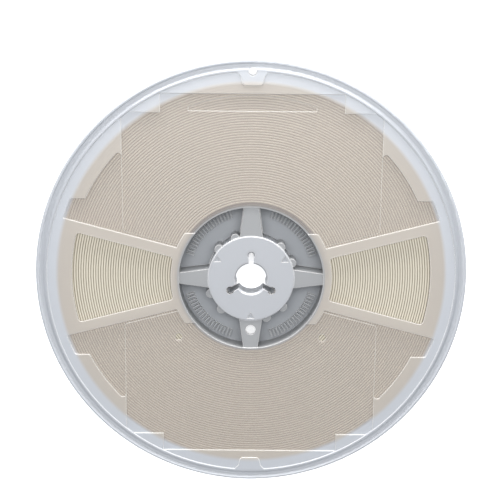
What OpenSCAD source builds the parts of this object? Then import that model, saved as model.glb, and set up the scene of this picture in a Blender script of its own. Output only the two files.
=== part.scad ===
// Moulded reel for 8 mm carrier tape: two plastic halves with a full roll of paper tape between them.
// The reel lies flat on its rear flange, with the hub's axis along +Z. All sizes are in millimetres.

/* [Flanges] */
// Outside diameter of both flanges
flange_d = 180; // [178:1:186]
// Thickness of the flange plate
plate_t = 1.2; // [1.1:0.1:1.6]
// Clear width between the two plates
inside_w = 8.4; // [8.4:0.1:9.9]
// Radial width of the raised rim
rim_w = 4.7; // [4:0.1:6]
// Height of the rim above the plate's outer face
rim_lift = 0.35; // [0.25:0.05:0.6]
// Depth of the round channel in the rim, below the plate's outer face
channel_depth = 0.45; // [0.3:0.05:0.6]

/* [Windows] */
// Radius where a window starts
window_in_r = 33.7; // [33:0.1:35]
// Radius where a window ends
window_out_r = 75; // [65:0.5:76]
// Angle of a window's sides to the flange's centre line
window_slope = 14.5; // [12:0.5:16]
// Distance between the axis and the line of a window's side
window_offset = 0.6; // [0.4:0.1:2]
// Corner radius of a window
window_corner = 1.6; // [0.8:0.1:2.5]
// Width of the bar between a window and the recess beside it
bar_w = 4.4; // [3.5:0.1:6]

/* [Recesses] */
// Depth of the label recess
label_depth = 0.5; // [0.2:0.05:0.55]
// Depth of the pockets and of the groove round the label recess
pocket_depth = 0.65; // [0.56:0.05:0.8]
// Width of the label recess
label_w = 106.4; // [98:0.2:108]
// Distance from the axis to the shoulders of the label recess
shoulder_y = 69; // [66:0.5:71]
// Distance from the axis to the far edge of the label recess
label_y = 76.6; // [75:0.2:79]
// Length of the far edge of the label recess
label_end_w = 74.8; // [64:0.2:76]
// Width of the groove between a bar and the label recess
groove_w = 1.1; // [0.8:0.1:1.6]
// Radius of the pockets' outer edge
pocket_r = 76.2; // [75.5:0.1:78]
// Radius of the outer edge of a pocket's notch
notch_r = 81.8; // [80:0.1:83]
// Distance from the axis, across the windows, to the end of a notch
notch_y = 33.6; // [32:0.1:36]
// Distance from the axis to the straight side of the crescent
crescent_y = 69.6; // [67:0.2:72]
// Length of the crescent
crescent_w = 52; // [40:1:54]

/* [Tabs and holes] */
// Radial reach of a rim tab, from the rim's inner edge
tab_reach = 5.4; // [4.5:0.1:6]
// Width of a rim tab at its free end
tab_w = 8.4; // [7:0.1:10]
// Diameter of the locating hole in the upper tab
locating_d = 3.4; // [2.8:0.1:3.8]
// Diameter of the two small holes beside the hub
witness_d = 2.9; // [2:0.1:3.5]
// Distance between the two small holes
witness_gap = 60.8; // [56:0.2:66]
// Distance from the axis to the line of the small holes
witness_y = 25.5; // [24:0.5:30]

/* [Hub] */
// Outside diameter of the hub that the tape is wound on
hub_d = 62.5; // [62:0.1:64]
// Thickness of the hub's wall
hub_wall_t = 1; // [0.9:0.1:1.4]
// Diameter of the hub's centre disc
disc_d = 36.4; // [34:0.2:39]
// Depth of the centre disc below the front plate's outer face
disc_depth = 0.6; // [0.5:0.1:1.2]
// Thickness of the centre disc, the spokes and their walls
web_t = 1.1; // [0.9:0.1:1.3]
// Width of the two upright spokes at the hub's wall
upright_tip_w = 5.8; // [5:0.1:6.6]
// Width of the two level spokes at the hub's wall
level_tip_w = 4.4; // [4:0.1:5.2]
// Width of the two upright spokes at the centre disc
upright_root_w = 9.4; // [8.6:0.1:10]
// Width of the two level spokes at the centre disc
level_root_w = 7.8; // [7:0.1:8.6]
// Radius of the fillets between the spokes and the centre disc
root_fillet_r = 1.2; // [0.8:0.1:1.5]
// Height of the centre disc's face above the spokes, chamfered all round
disc_step = 0.3; // [0.2:0.05:0.4]
// Diameter of the hole in the lower spoke
spoke_hole_d = 4.2; // [3.6:0.1:4.8]
// Distance from the axis to the hole in the lower spoke
spoke_hole_y = 22.3; // [21.5:0.1:24]
// Radius of the half-round posts on the centre disc's wall
post_r = 1.9; // [1.2:0.1:2.2]
// Length of a rib in the combs
rib_l = 3.3; // [2.5:0.1:4]
// Width of a rib in the combs
rib_w = 0.55; // [0.4:0.05:0.7]
// Height of a rib in the combs
rib_h = 1.6; // [1:0.1:2.5]
// Gap between the hub's wall and the combs
comb_gap = 1.25; // [1:0.05:2]
// Number of ribs in each of the four combs
rib_count = 18; // [10:1:19]
// Running gap between the two halves where one enters the other
key_gap = 0.15; // [0.1:0.05:0.25]

/* [Arbor hole] */
// Diameter of the arbor hole
arbor_d = 13; // [12.8:0.1:13.5]
// Radius to the end of a drive slot
slot_r = 11.1; // [10.1:0.1:11.8]
// Width of a drive slot
slot_w = 2.1; // [1.5:0.1:2.6]
// Thickness of the wall round the arbor hole and its slots
sleeve_t = 1.6; // [1.2:0.1:2]

/* [Tape] */
// Width of the carrier tape
tape_w = 8; // [7.8:0.1:8.3]
// Thickness of one turn of tape
turn_t = 1.04; // [0.9:0.02:1.1]
// Number of turns on the hub
turns = 48; // [30:1:48]
// Depth of the crease between two turns
crease_depth = 0.35; // [0.1:0.05:0.5]
// Width of the crease between two turns
crease_w = 0.42; // [0.2:0.02:0.5]
// Gap between the hub and the first turn
winding_gap = 0.1; // [0.05:0.05:0.2]

/* [Hidden] */
$fn = 128;
eps = 0.5;
flange_r = flange_d / 2;
rim_r = flange_r - rim_w;
hub_r = hub_d / 2;
hub_in_r = hub_r - hub_wall_t;
disc_r = disc_d / 2;
rear_face_z = rim_lift;
rear_in_z = rear_face_z + plate_t;
front_in_z = rear_in_z + inside_w;
front_face_z = front_in_z + plate_t;
disc_z = front_face_z - disc_depth;
spoke_z = disc_z - disc_step;
bar_offset = window_offset + bar_w;
bead_r = (plate_t + rim_lift - 0.05) / 2;
collar_y = 19.3;
corner_r = 1.4;
post_drop = 1;
post_angles = [21.5, 47.5];
comb_a = 45;
rib_pitch = 3.1;
bore_r = hub_r + winding_gap;
wound_r = bore_r + (turns - 1) * turn_t;
arbor_chamfer = 0.6;
mark_size = 1.8;
mark_depth = 0.3;
plastic = [0.80, 0.81, 0.82];
rear_plastic = [0.70, 0.71, 0.73];
paper = [0.80, 0.75, 0.67];

// Points along an arc of radius r round c, from angle a1 to angle a2
function arc(c, r, a1, a2, n = 6) =
    [for (i = [0:n]) c + r * [cos(a1 + (a2 - a1) * i / n), sin(a1 + (a2 - a1) * i / n)]];

// Point at x on the line that leaves the axis at the window's slope, moved out by d
function on_side(x, d) = [x, x * tan(window_slope) + d / cos(window_slope)];

// The same points mirrored across the X axis, in the order that closes the outline
function below(points) = [for (i = [len(points) - 1:-1:0]) [points[i][0], -points[i][1]]];

// The same points mirrored across the Y axis, in the order that closes the outline
function leftwards(points) = [for (i = [len(points) - 1:-1:0]) [-points[i][0], points[i][1]]];

// Two copies, the second mirrored across the YZ plane
module both_sides() {
    children();
    mirror([1, 0, 0]) children();
}

// One window on +X, between two arcs round the axis, with round corners
module window() {
    c = window_corner;
    d = window_offset - c;
    r1 = window_in_r + c;
    r2 = window_out_r - c;
    a1 = window_slope + asin(d / r1);
    a2 = window_slope + asin(d / r2);
    inner = arc(r1 * [cos(a1), sin(a1)], c * 1.01, a1 + 180, window_slope + 90);
    outer = arc(r2 * [cos(a2), sin(a2)], c * 1.01, window_slope + 90, a2);
    upper = concat([[window_in_r / 2, 0.1]], inner, outer, [[flange_r, 0.1]]);
    intersection() {
        difference() {
            circle(r = window_out_r);
            circle(r = window_in_r);
        }
        polygon(concat(upper, below(upper)));
    }
}

// Raised land round the hub beside the windows
module collar() {
    c = corner_r;
    x = sqrt(pow(window_in_r - c, 2) - pow(collar_y - c, 2));
    right = concat([[flange_r, 0.1]], arc([x, collar_y - c], c * 1.01, atan2(collar_y - c, x), 90));
    half = concat(right, leftwards(right));
    intersection() {
        circle(r = window_in_r);
        polygon(concat(half, below(half)));
    }
}

// Upper label recess, stepped at its shoulders
module label_area() {
    w = label_w / 2;
    c = corner_r;
    d = bar_offset + groove_w;
    points = concat(
        [on_side(0, d)],
        arc(on_side(w - c, d + c), c, window_slope - 90, 0),
        [[w, shoulder_y], [label_end_w / 2, shoulder_y], [label_end_w / 2, label_y]]
    );
    difference() {
        intersection() {
            polygon(concat(points, leftwards(points)));
            circle(r = rim_r);
        }
        circle(r = hub_in_r);
        collar();
    }
}

// Upper right pocket, with a notch that runs further out beside the bar
module pocket() {
    c = corner_r;
    x1 = label_w / 2 + c;
    y1 = sqrt(pow(pocket_r - c, 2) - x1 * x1);
    y2 = notch_y - c;
    x2 = sqrt(pow(notch_r - c, 2) - y2 * y2);
    intersection() {
        circle(r = pocket_r);
        polygon(concat(
            [on_side(x1 - c, bar_offset), on_side(flange_r, bar_offset), [flange_r, y1]],
            arc([x1, y1], c * 1.01, atan2(y1, x1), 180)
        ));
    }
    intersection() {
        circle(r = notch_r);
        polygon(concat(
            [on_side(x1 + c, bar_offset), on_side(flange_r, bar_offset)],
            arc([x2, y2], c * 1.01, atan2(y2, x2), 90),
            [[x1 + c, notch_y]]
        ));
    }
}

// Upper pockets, and the groove between the bars and the label recess
module pocket_area() {
    w = label_w / 2;
    groove = [on_side(0, bar_offset), on_side(w, bar_offset), on_side(w, bar_offset + 6), on_side(0, bar_offset + 6)];
    difference() {
        union() {
            both_sides() pocket();
            both_sides() polygon(groove);
        }
        circle(r = hub_in_r);
        collar();
        label_area();
    }
}

// Thin crescent in the upper label recess
module crescent() {
    intersection() {
        circle(r = pocket_r - 0.3);
        translate([-crescent_w / 2, crescent_y]) square([crescent_w, flange_r]);
    }
}

// Raised tab that reaches inwards from the rim
module rim_tab() {
    y = rim_r - tab_reach;
    w = tab_w / 2;
    polygon([
        [-w + 0.9, y], [w - 0.9, y], [w, y + 0.8], [w + 0.6, rim_r - 1.8], [w + 2.1, rim_r - 0.2],
        [w + 2.1, rim_r + 0.3], [-w - 2.1, rim_r + 0.3], [-w - 2.1, rim_r - 0.2], [-w - 0.6, rim_r - 1.8],
        [-w, y + 0.8]
    ]);
}

// Section of the flange from the hub to the rounded bead, with the plate's outer face at z = 0
module flange_section(r1) {
    groove_r = rim_r + 0.4 * rim_w;
    polygon([
        [r1, -plate_t], [r1, 0], [rim_r, 0], [rim_r + 0.15, rim_lift], [rim_r + 0.17 * rim_w, rim_lift],
        [groove_r, -channel_depth], [flange_r - bead_r, -channel_depth], [flange_r - bead_r, -plate_t]
    ]);
    translate([flange_r - bead_r, bead_r - plate_t]) circle(r = bead_r);
}

// One flange, outer face up at z = 0, open inside radius r1
module flange(r1) {
    difference() {
        union() {
            rotate_extrude() flange_section(r1);
            for (a = [0, 180]) rotate(a) translate([0, 0, -plate_t / 2]) linear_extrude(plate_t / 2 + rim_lift)
                rim_tab();
        }
        for (a = [0, 180]) rotate(a) {
            translate([0, 0, -label_depth]) linear_extrude(label_depth + eps) label_area();
            translate([0, 0, -pocket_depth]) linear_extrude(pocket_depth + eps) pocket_area();
        }
        translate([0, 0, -pocket_depth]) linear_extrude(pocket_depth) crescent();
        both_sides() translate([0, 0, -plate_t - eps]) linear_extrude(plate_t + 2 * eps) window();
        translate([0, rim_r + 0.1, -plate_t - eps]) cylinder(d = locating_d, h = plate_t + 2 * eps);
        both_sides() translate([witness_gap / 2, -witness_y, 0]) {
            translate([0, 0, -plate_t - eps]) cylinder(d = witness_d, h = plate_t + 2 * eps);
            translate([0, 0, -label_depth - 0.3]) cylinder(d1 = witness_d, d2 = witness_d + 1, h = 0.31);
        }
    }
}

// Outline of one spoke, pointing up, narrowed by t on each side, with fillets where it meets the centre disc
module spoke_outline(tip_w, root_w, t, end_r) {
    w = tip_w / 2 - t;
    f = root_fillet_r;
    right = arc([root_w / 2 + f, disc_r + f - 1.1], f + t, 180, 265);
    polygon(concat([[-w, end_r], [w, end_r]], right, leftwards(right)));
}

// Centre disc and four spokes, narrowed by t all round
module star(t, end_r) {
    circle(r = disc_r - t);
    for (a = [0, 180]) rotate(a) spoke_outline(upright_tip_w, upright_root_w, t, end_r);
    for (a = [90, 270]) rotate(a) spoke_outline(level_tip_w, level_root_w, t, end_r);
}

// Arbor hole with its three drive slots, grown by g
module arbor_outline(g) {
    circle(d = arbor_d + 2 * g);
    for (a = [0, 120, 240]) rotate(a) {
        translate([-slot_w / 2 - g, 0]) square([slot_w + 2 * g, slot_r - slot_w / 2]);
        translate([0, slot_r - slot_w / 2]) circle(d = slot_w + 2 * g);
    }
}

// Half-round posts that stand on the rear flange against the centre disc's wall
module posts() {
    difference() {
        for (k = [0:3], a = post_angles) rotate(90 * k + a) translate([disc_r, 0]) circle(r = post_r);
        circle(r = disc_r - web_t / 2);
    }
}

// Hub of the front half: wall, hollow disc with spokes, posts and the arbor's sleeve
module hub() {
    translate([0, 0, rear_in_z]) linear_extrude(front_face_z - rear_in_z - plate_t / 2) difference() {
        circle(r = hub_r);
        circle(r = hub_in_r);
    }
    translate([0, 0, spoke_z - web_t]) linear_extrude(web_t) intersection() {
        star(0, hub_r);
        circle(r = hub_in_r + hub_wall_t / 2);
    }
    translate([0, 0, spoke_z]) cylinder(r1 = disc_r, r2 = disc_r - disc_step, h = disc_step);
    translate([0, 0, rear_face_z]) linear_extrude(spoke_z - rear_face_z - web_t / 2) difference() {
        intersection() {
            star(0, hub_r);
            circle(r = hub_in_r + 0.01);
        }
        star(web_t, hub_r);
    }
    translate([0, 0, rear_in_z]) linear_extrude(disc_z - rear_in_z - post_drop) posts();
    translate([0, 0, rear_face_z + 0.3]) linear_extrude(spoke_z - rear_face_z - web_t / 2) arbor_outline(sleeve_t);
}

// Arbor hole through the sleeve, chamfered at the front
module arbor_cut() {
    linear_extrude(front_face_z + eps) arbor_outline(0);
    translate([0, 0, disc_z - arbor_chamfer])
        cylinder(d1 = arbor_d, d2 = arbor_d + 2 * arbor_chamfer, h = arbor_chamfer);
    for (a = [0, 120, 240]) rotate(a) translate([0, slot_r - slot_w / 2, disc_z - arbor_chamfer])
        cylinder(d1 = slot_w, d2 = slot_w + 2 * arbor_chamfer, h = arbor_chamfer);
}

// Small three-sided marks sunk into the centre disc, opposite the drive slots
module marks() {
    for (a = [30, 150, 270]) rotate(a) translate([disc_r - 1 - mark_size / 2, 0, disc_z - mark_depth])
        rotate(180) cylinder(r = mark_size, h = mark_depth + eps, $fn = 3);
}

// Front half: flange, hub and arbor in one moulding
module front_flange() {
    color(plastic) difference() {
        union() {
            translate([0, 0, front_face_z]) flange(hub_in_r);
            hub();
        }
        arbor_cut();
        marks();
        translate([0, -spoke_hole_y, spoke_z - web_t - eps]) cylinder(d = spoke_hole_d, h = web_t + 2 * eps);
    }
}

// Rear half: flange with a floor inside the hub, keyed to the front half's disc and spokes
module rear_flange() {
    first_rib = comb_a - rib_pitch * (rib_count - 1) / 2;
    color(rear_plastic) {
        difference() {
            translate([0, 0, rear_face_z]) rotate([0, 180, 0]) flange(disc_r / 2);
            translate([0, 0, -eps]) linear_extrude(rear_in_z + 2 * eps) intersection() {
                star(-key_gap, hub_r);
                circle(r = hub_in_r + key_gap);
            }
        }
        for (k = [0:3], i = [0:rib_count - 1]) rotate(90 * k + first_rib + i * rib_pitch)
            translate([hub_in_r - comb_gap - rib_l, -rib_w / 2, rear_in_z - plate_t / 2])
                cube([rib_l, rib_w, rib_h + plate_t / 2]);
    }
}

// Section of the closed turns, with a crease between each two on both faces of the roll
module turns_section() {
    z1 = rear_in_z;
    z2 = rear_in_z + tape_w;
    c = crease_w / 2;
    edges = [for (i = [1:turns - 2]) bore_r + i * turn_t];
    top = [for (r = edges) each [[r - c, z2], [r, z2 - crease_depth], [r + c, z2]]];
    bottom = [for (i = [len(edges) - 1:-1:0]) each
        [[edges[i] + c, z1], [edges[i], z1 + crease_depth], [edges[i] - c, z1]]];
    polygon(concat(
        [[bore_r, z1], [bore_r, z2]], top,
        [[wound_r - c, z2], [wound_r, z2 - crease_depth], [wound_r, z1 + crease_depth], [wound_r - c, z1]],
        bottom
    ));
}

// Section of the last turn where it stands w proud of the turn under it
module last_turn_section(w) {
    z1 = rear_in_z;
    z2 = rear_in_z + tape_w;
    c = min(crease_w / 2, w / 3);
    r = wound_r + w;
    polygon([
        [wound_r - 0.1, z1 + crease_depth], [wound_r, z1 + crease_depth], [wound_r + c, z1], [r - c, z1],
        [r, z1 + crease_depth], [r, z2 - crease_depth], [r - c, z2], [wound_r + c, z2],
        [wound_r, z2 - crease_depth], [wound_r - 0.1, z2 - crease_depth]
    ]);
}

// Wound tape. The four quarters of its last turn are turned round the corners of a small square, each a
// quarter of the tape's thickness further in, so that they make one smooth spiral with a free end on -X
module carrier_tape() {
    step = turn_t / 4;
    corners = [[1, -1], [1, 1], [-1, 1], [-1, -1]] * step / 2;
    color(paper) {
        rotate_extrude() turns_section();
        mirror([1, 0, 0]) for (k = [0:3])
            translate(corners[k]) rotate(90 * k) rotate_extrude(angle = 90) last_turn_section(turn_t - k * step);
    }
}

front_flange();
rear_flange();
carrier_tape();
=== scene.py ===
import math

import bpy
from mathutils import Matrix, Vector


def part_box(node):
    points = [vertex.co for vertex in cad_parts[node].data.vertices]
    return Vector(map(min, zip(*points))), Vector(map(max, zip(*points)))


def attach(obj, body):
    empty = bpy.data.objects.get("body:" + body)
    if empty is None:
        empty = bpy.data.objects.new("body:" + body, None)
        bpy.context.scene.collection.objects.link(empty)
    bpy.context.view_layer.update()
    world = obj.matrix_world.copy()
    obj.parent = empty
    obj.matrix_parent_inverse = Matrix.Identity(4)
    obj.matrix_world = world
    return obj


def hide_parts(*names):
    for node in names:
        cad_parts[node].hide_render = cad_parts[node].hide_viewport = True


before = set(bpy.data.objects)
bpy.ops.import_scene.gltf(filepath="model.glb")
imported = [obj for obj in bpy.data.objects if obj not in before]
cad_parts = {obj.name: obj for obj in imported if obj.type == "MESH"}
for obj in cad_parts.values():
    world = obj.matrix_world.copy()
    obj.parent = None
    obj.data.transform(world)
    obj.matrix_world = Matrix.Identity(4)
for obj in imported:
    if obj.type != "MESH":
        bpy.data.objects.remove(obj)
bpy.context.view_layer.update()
mm = 0.001
print("frame loaded")


def linear(hexColour):
    parts = []
    for i in (1, 3, 5):
        c = int(hexColour[i:i + 2], 16) / 255
        parts.append(c / 12.92 if c <= 0.04045 else ((c + 0.055) / 1.055) ** 2.4)
    return (*parts, 1)


# One node with its settings; links maps an input to the socket that feeds it
def addNode(tree, kind, settings=None, inputs=None, links=None):
    node = tree.nodes.new(kind)
    for name, value in (settings or {}).items():
        setattr(node, name, value)
    for name, value in (inputs or {}).items():
        node.inputs[name].default_value = value
    for name, socket in (links or {}).items():
        tree.links.new(socket, node.inputs[name])
    return node


def newMaterial(name):
    material = bpy.data.materials.new(name)
    material.use_nodes = True
    material.node_tree.nodes.clear()
    return material, material.node_tree


# Distance in millimetres, lens too; tilt and roll in degrees
camera = {"distance": 447, "tilt": 13.7, "roll": 0.52, "lens": 77, "shiftX": -0.002, "shiftY": 0.059}


def makeCamera(frontFace):
    data = bpy.data.cameras.new("camera")
    data.sensor_width = 36
    data.lens = camera["lens"]
    data.shift_x = camera["shiftX"]
    data.shift_y = camera["shiftY"]
    data.clip_start = 0.01
    obj = bpy.data.objects.new("camera", data)
    tilt = math.radians(camera["tilt"])
    away = Vector((0, math.sin(tilt), math.cos(tilt)))
    turn = Matrix.Rotation(-tilt, 4, "X") @ Matrix.Rotation(math.radians(camera["roll"]), 4, "Z")
    obj.matrix_world = Matrix.Translation(Vector((0, 0, frontFace)) + away * camera["distance"] * mm) @ turn
    bpy.context.scene.collection.objects.link(obj)
    bpy.context.scene.camera = obj


def makeLamp(name, place, aim, size, power):
    data = bpy.data.lights.new(name, "AREA")
    data.shape = "RECTANGLE"
    data.size, data.size_y = size
    data.energy = power
    obj = bpy.data.objects.new(name, data)
    place = Vector(place)
    turn = (Vector(aim) - place).to_track_quat("-Z", "Y").to_matrix().to_4x4()
    obj.matrix_world = Matrix.Translation(place) @ turn
    bpy.context.scene.collection.objects.link(obj)


# Sizes in metres, powers in watts. The floor and the world lift what the camera sees of them to white
studio = {"floorHalf": 3, "paper": "#e3e5e8", "floorLift": 0.68, "fill": "#e4e9f0", "fillStrength": 0.5}
softboxes = {
    "softboxAbove": {"place": (0, 0.3, 0.9), "aim": (0, 0.02, 0), "size": (0.9, 0.5), "power": 9},
    "softboxBehind": {"place": (0, 0.5, 0.08), "aim": (0, 0, 0.005), "size": (0.9, 0.12), "power": 8},
}


def makeFloor():
    half = studio["floorHalf"]
    mesh = bpy.data.meshes.new("floor")
    corners = [(-half, -half, 0), (half, -half, 0), (half, half, 0), (-half, half, 0)]
    mesh.from_pydata(corners, [], [(0, 1, 2, 3)])
    floor = bpy.data.objects.new("floor", mesh)
    bpy.context.scene.collection.objects.link(floor)
    material, tree = newMaterial("matte white paper sheet")
    out = addNode(tree, "ShaderNodeOutputMaterial")
    paper = addNode(tree, "ShaderNodeBsdfDiffuse", inputs={"Color": linear(studio["paper"])})
    path = addNode(tree, "ShaderNodeLightPath")
    lift = addNode(tree, "ShaderNodeMath", {"operation": "MULTIPLY"}, {1: studio["floorLift"]},
                   {0: path.outputs["Is Camera Ray"]})
    glow = addNode(tree, "ShaderNodeEmission", inputs={"Color": linear("#ffffff")},
                   links={"Strength": lift.outputs[0]})
    both = addNode(tree, "ShaderNodeAddShader", links={0: paper.outputs[0], 1: glow.outputs[0]})
    tree.links.new(both.outputs[0], out.inputs["Surface"])
    mesh.materials.append(material)


def makeWorld():
    world = bpy.data.worlds.new("studio")
    world.use_nodes = True
    bpy.context.scene.world = world
    tree = world.node_tree
    tree.nodes.clear()
    out = addNode(tree, "ShaderNodeOutputWorld")
    path = addNode(tree, "ShaderNodeLightPath")
    fill = addNode(tree, "ShaderNodeBackground",
                   inputs={"Color": linear(studio["fill"]), "Strength": studio["fillStrength"]})
    white = addNode(tree, "ShaderNodeBackground", inputs={"Color": linear("#ffffff"), "Strength": 1})
    mix = addNode(tree, "ShaderNodeMixShader",
                  links={0: path.outputs["Is Camera Ray"], 1: fill.outputs[0], 2: white.outputs[0]})
    tree.links.new(mix.outputs[0], out.inputs["Surface"])


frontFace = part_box("front_flange")[1].z
makeCamera(frontFace)
makeWorld()
for name, lamp in softboxes.items():
    makeLamp(name, lamp["place"], lamp["aim"], lamp["size"], lamp["power"])
makeFloor()
print("camera, lamps and floor made")


# Cover, how much the plastic hides, is "thin" in the recesses, "thick" at the rim's ring, "outer" past the
# roll and "solid" inside the hub. "clear" is how much of it bends light through. Edge width in millimetres
# The edge colour is a highlight painted on every rounded corner
plastic = {
    "rim": "#cbced3", "bead": "#bcbfc4", "disc": "#c1c3c7", "spoke": "#abacad",
    "recess": "#c9c0b9", "bar": "#d3cdc5", "edge": "#f0eeea",
    "thin": 0.335, "thick": 0.84, "solid": 0.96, "outer": 0.78,
    "haze": 0.3, "clear": 0.3, "clearRim": 0.25, "edgeWidth": 0.35,
}
# The rear half's hub colours, disc and spoke, are greyer than the front's: painted shade on the deep hub
# floor behind the front spokes
rearPlastic = {
    "rim": "#cbced3", "bead": "#bcbfc4", "disc": "#acafb4", "spoke": "#a2a5a9",
    "recess": "#cfc7bf", "bar": "#dcd5cb", "edge": "#eceae6",
    "thin": 0.5, "thick": 0.8, "solid": 0.97, "outer": 0.9,
    "haze": 0.4, "clear": 0.2, "clearRim": 0.4, "edgeWidth": 0.25,
}
# The grain's scale and height in millimetres, and where a rounded corner starts to show its painted
# highlight as a pale line
finish = {
    "grain": 2500, "grainStrength": 0.12, "grainHeight": 0.05,
    "cornerFrom": 0.995, "cornerFull": 0.9, "cornerCover": 0.4, "beadDull": 0.8,
}
# Radii in millimetres at which the plastic changes, each from and to; the bead is the rim's raised edge
radii = {"disc": (18.2, 18.5), "hub": (30.55, 31.35), "roll": (80.3, 81.9), "bead": (84.9, 85.7)}


# Translucent polystyrene, injection moulded with a fine matt texture. Thicker walls are milkier, so the
# raised bars hide more of the tape than the recesses do. It takes up a little of the paper's warm colour,
# and every moulded edge gets a painted highlight, a thin pale line
def frostedPolystyrene(name, look, low, high):
    material, tree = newMaterial(name)
    out = addNode(tree, "ShaderNodeOutputMaterial")
    coords = addNode(tree, "ShaderNodeTexCoord")
    split = addNode(tree, "ShaderNodeSeparateXYZ", links={"Vector": coords.outputs["Object"]})
    flat = addNode(tree, "ShaderNodeCombineXYZ", links={"X": split.outputs["X"], "Y": split.outputs["Y"]})
    radius = addNode(tree, "ShaderNodeVectorMath", {"operation": "LENGTH"},
                     links={0: flat.outputs[0]}).outputs["Value"]
    fromHub = addNode(tree, "ShaderNodeMapRange",
                      inputs={1: radii["hub"][0] * mm, 2: radii["hub"][1] * mm},
                      links={0: radius}).outputs[0]
    pastRoll = addNode(tree, "ShaderNodeMapRange",
                       inputs={1: radii["roll"][0] * mm, 2: radii["roll"][1] * mm},
                       links={0: radius}).outputs[0]
    fromDisc = addNode(tree, "ShaderNodeMapRange",
                       inputs={1: radii["disc"][0] * mm, 2: radii["disc"][1] * mm},
                       links={0: radius}).outputs[0]
    thickness = addNode(tree, "ShaderNodeMapRange", inputs={1: low, 2: high},
                        links={0: split.outputs["Z"]}).outputs[0]
    # On the rear half these hub colours carry painted shade
    hubTint = addNode(tree, "ShaderNodeMix", {"data_type": "RGBA"},
                      {6: linear(look["disc"]), 7: linear(look["spoke"])}, {0: fromDisc}).outputs[2]
    rollTint = addNode(tree, "ShaderNodeMix", {"data_type": "RGBA"},
                       {6: linear(look["recess"]), 7: linear(look["bar"])}, {0: thickness}).outputs[2]
    atBead = addNode(tree, "ShaderNodeMapRange",
                     inputs={1: radii["bead"][0] * mm, 2: radii["bead"][1] * mm},
                     links={0: radius}).outputs[0]
    rimTint = addNode(tree, "ShaderNodeMix", {"data_type": "RGBA"},
                      {6: linear(look["rim"]), 7: linear(look["bead"])}, {0: atBead}).outputs[2]
    outerTint = addNode(tree, "ShaderNodeMix", {"data_type": "RGBA"},
                        links={0: pastRoll, 6: rollTint, 7: rimTint}).outputs[2]
    tint = addNode(tree, "ShaderNodeMix", {"data_type": "RGBA"},
                   links={0: fromHub, 6: hubTint, 7: outerTint}).outputs[2]
    milk = addNode(tree, "ShaderNodeMapRange", inputs={3: look["thin"], 4: look["thick"]},
                   links={0: thickness}).outputs[0]
    overRoll = addNode(tree, "ShaderNodeMix", inputs={3: look["outer"]},
                       links={0: pastRoll, 2: milk}).outputs[0]
    cover = addNode(tree, "ShaderNodeMix", inputs={2: look["solid"]},
                    links={0: fromHub, 3: overRoll}).outputs[0]
    grain = addNode(tree, "ShaderNodeTexNoise", inputs={"Scale": finish["grain"], "Detail": 2},
                    links={"Vector": coords.outputs["Object"]})
    # A corner is where the rounded normal leaves the face's own, and there a pale highlight is painted; the
    # bead's corners are kept dull
    soft = addNode(tree, "ShaderNodeBevel", {"samples": 6}, {"Radius": look["edgeWidth"] * mm})
    face = addNode(tree, "ShaderNodeNewGeometry")
    facing = addNode(tree, "ShaderNodeVectorMath", {"operation": "DOT_PRODUCT"},
                     links={0: soft.outputs[0], 1: face.outputs["Normal"]}).outputs["Value"]
    corner = addNode(tree, "ShaderNodeMapRange", inputs={1: finish["cornerFrom"], 2: finish["cornerFull"]},
                     links={0: facing}).outputs[0]
    inward = addNode(tree, "ShaderNodeMath", {"operation": "MULTIPLY_ADD"}, {1: -finish["beadDull"], 2: 1},
                     {0: atBead}).outputs[0]
    edge = addNode(tree, "ShaderNodeMath", {"operation": "MULTIPLY"},
                   links={0: corner, 1: inward}).outputs[0]
    # Painted highlight: corners are mixed towards the pale edge colour
    edgeTint = addNode(tree, "ShaderNodeMix", {"data_type": "RGBA"}, {7: linear(look["edge"])},
                       {0: edge, 6: tint}).outputs[2]
    edgeCover = addNode(tree, "ShaderNodeMath", {"operation": "MULTIPLY_ADD"}, {1: finish["cornerCover"]},
                        {0: edge, 2: cover}).outputs[0]
    clearness = addNode(tree, "ShaderNodeMapRange", inputs={3: look["clear"], 4: look["clearRim"]},
                        links={0: pastRoll}).outputs[0]
    bump = addNode(tree, "ShaderNodeBump",
                   inputs={"Strength": finish["grainStrength"], "Distance": finish["grainHeight"] * mm},
                   links={"Height": grain.outputs["Fac"], "Normal": soft.outputs[0]})
    shader = addNode(tree, "ShaderNodeBsdfPrincipled", inputs={"Roughness": look["haze"], "IOR": 1.5},
                     links={"Base Color": edgeTint, "Normal": bump.outputs[0],
                            "Transmission Weight": clearness, "Alpha": edgeCover})
    tree.links.new(shader.outputs[0], out.inputs["Surface"])
    return material


# Lengths in millimetres; "middle" is the height of the tape's middle over the floor
# The crease colour is painted shade in the gap between two turns
tape = {
    "startRadius": 31.9, "pitch": 1.04, "turns": 47.5, "width": 8, "thickness": 1.0, "bevel": 0.24,
    "middle": 5.55, "stepsPerTurn": 96,
    "paper": "#c7c1b2", "fleck": "#bcb5a5", "crease": "#8a806f",
    "fibreScale": 700, "fibreStrength": 0.3, "fibreHeight": 0.05,
}
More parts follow.
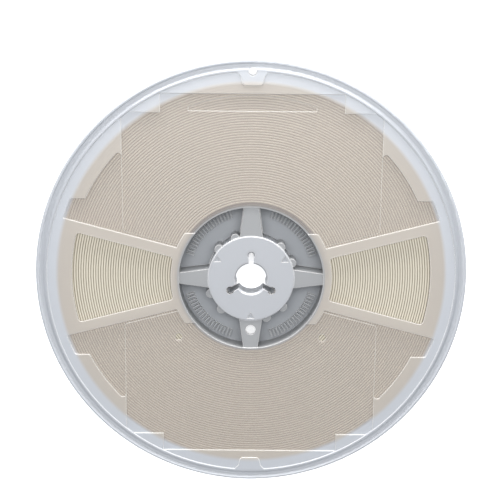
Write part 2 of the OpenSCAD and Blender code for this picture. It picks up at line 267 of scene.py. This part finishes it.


# Carrier tape of pressed paper, cut edge up: pale and dry on its top edge, darkened with painted shade down
# its sides in the gap between two turns
def paperTape(name):
    material, tree = newMaterial(name)
    out = addNode(tree, "ShaderNodeOutputMaterial")
    coords = addNode(tree, "ShaderNodeTexCoord")
    split = addNode(tree, "ShaderNodeSeparateXYZ", links={"Vector": coords.outputs["Object"]})
    off = addNode(tree, "ShaderNodeMath", {"operation": "SUBTRACT"}, {1: tape["middle"] * mm},
                  {0: split.outputs["Z"]})
    depth = addNode(tree, "ShaderNodeMath", {"operation": "ABSOLUTE"}, links={0: off.outputs[0]})
    # Painted shade: below the top edge the paper darkens to the crease colour, down into the gap between
    # turns
    gapShadeMask = addNode(tree, "ShaderNodeMapRange",
                   inputs={1: (tape["width"] / 2 - tape["bevel"]) * mm, 2: tape["width"] / 2 * mm},
                   links={0: depth.outputs[0]})
    fibre = addNode(tree, "ShaderNodeTexNoise", inputs={"Scale": tape["fibreScale"], "Detail": 4},
                    links={"Vector": coords.outputs["Object"]})
    light = addNode(tree, "ShaderNodeMix", {"data_type": "RGBA"},
                    {6: linear(tape["paper"]), 7: linear(tape["fleck"])}, {0: fibre.outputs["Fac"]})
    tint = addNode(tree, "ShaderNodeMix", {"data_type": "RGBA"}, {6: linear(tape["crease"])},
                   {0: gapShadeMask.outputs[0], 7: light.outputs[2]})
    bump = addNode(tree, "ShaderNodeBump",
                   inputs={"Strength": tape["fibreStrength"], "Distance": tape["fibreHeight"] * mm},
                   links={"Height": fibre.outputs["Fac"]})
    shader = addNode(tree, "ShaderNodeBsdfPrincipled", inputs={"Roughness": 0.85, "IOR": 1.45},
                     links={"Base Color": tint.outputs[2], "Normal": bump.outputs[0]})
    tree.links.new(shader.outputs[0], out.inputs["Surface"])
    return material


# The whole roll is one strip that follows a spiral
def makeTape(material):
    tree = bpy.data.node_groups.new("woundTape", "GeometryNodeTree")
    tree.is_modifier = True
    addSocket = tree.interface.new_socket
    sizes = {"Start Radius": tape["startRadius"] * mm, "Pitch": tape["pitch"] * mm, "Turns": tape["turns"],
             "Width": tape["width"] * mm, "Thickness": tape["thickness"] * mm, "Bevel": tape["bevel"] * mm,
             "Height": tape["middle"] * mm}
    ids = {}
    for name in sizes:
        ids[name] = addSocket(name, in_out="INPUT", socket_type="NodeSocketFloat").identifier
    steps = addSocket("Steps per Turn", in_out="INPUT", socket_type="NodeSocketInt").identifier
    paint = addSocket("Material", in_out="INPUT", socket_type="NodeSocketMaterial").identifier
    addSocket("Mesh", in_out="OUTPUT", socket_type="NodeSocketGeometry")
    source = addNode(tree, "NodeGroupInput").outputs
    reach = addNode(tree, "ShaderNodeMath", {"operation": "MULTIPLY_ADD"},
                    links={0: source["Pitch"], 1: source["Turns"], 2: source["Start Radius"]})
    spiral = addNode(tree, "GeometryNodeCurveSpiral", inputs={"Height": 0},
                     links={"Resolution": source["Steps per Turn"], "Rotations": source["Turns"],
                            "Start Radius": source["Start Radius"], "End Radius": reach.outputs[0]})
    strip = addNode(tree, "GeometryNodeCurvePrimitiveQuadrilateral",
                    links={"Width": source["Thickness"], "Height": source["Width"]})
    soft = addNode(tree, "GeometryNodeFilletCurve", {"mode": "POLY"}, {"Count": 1},
                   {"Curve": strip.outputs[0], "Radius": source["Bevel"]})
    upright = addNode(tree, "GeometryNodeSetCurveNormal", {"mode": "Z_UP"},
                      links={"Curve": spiral.outputs[0]})
    wound = addNode(tree, "GeometryNodeCurveToMesh", inputs={"Fill Caps": True},
                    links={"Curve": upright.outputs[0], "Profile Curve": soft.outputs[0]})
    lift = addNode(tree, "ShaderNodeCombineXYZ", links={"Z": source["Height"]})
    placed = addNode(tree, "GeometryNodeTransform",
                     links={"Geometry": wound.outputs[0], "Translation": lift.outputs[0]})
    real = addNode(tree, "GeometryNodeRealizeInstances", links={"Geometry": placed.outputs[0]})
    painted = addNode(tree, "GeometryNodeSetMaterial",
                      links={"Geometry": real.outputs[0], "Material": source["Material"]})
    tree.links.new(painted.outputs[0], addNode(tree, "NodeGroupOutput").inputs[0])

    seed = bpy.data.objects.new("woundTapeSeed", bpy.data.meshes.new("woundTapeSeed"))
    bpy.context.scene.collection.objects.link(seed)
    modifier = seed.modifiers.new("woundTape", "NODES")
    modifier.node_group = tree
    for name, value in sizes.items():
        modifier[ids[name]] = float(value)
    modifier[steps] = tape["stepsPerTurn"]
    modifier[paint] = material
    graph = bpy.context.evaluated_depsgraph_get()
    mesh = bpy.data.meshes.new_from_object(seed.evaluated_get(graph))
    seed.modifiers.remove(modifier)
    bpy.data.objects.remove(seed)
    mesh.name = "woundTape"
    piece = bpy.data.objects.new("woundTape", mesh)
    bpy.context.scene.collection.objects.link(piece)
    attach(piece, "root")
    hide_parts("carrier_tape")
    print("tape wound:", len(mesh.polygons), "faces", [round(c, 4) for c in piece.dimensions])
    return piece


makeTape(paperTape("pressed paper tape"))

# The two heights are where the plastic is at its thinnest and at its thickest
front = frostedPolystyrene("frosted polystyrene", plastic, frontFace - 0.85 * mm, frontFace - 0.1 * mm)
rear = frostedPolystyrene("frosted polystyrene, rear half", rearPlastic, 1.15 * mm, 0.75 * mm)
for name, material in (("front_flange", front), ("rear_flange", rear)):
    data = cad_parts[name].data
    data.materials.clear()
    data.materials.append(material)
print("plastic halves finished")

scene = bpy.context.scene
scene.view_settings.view_transform = "Standard"
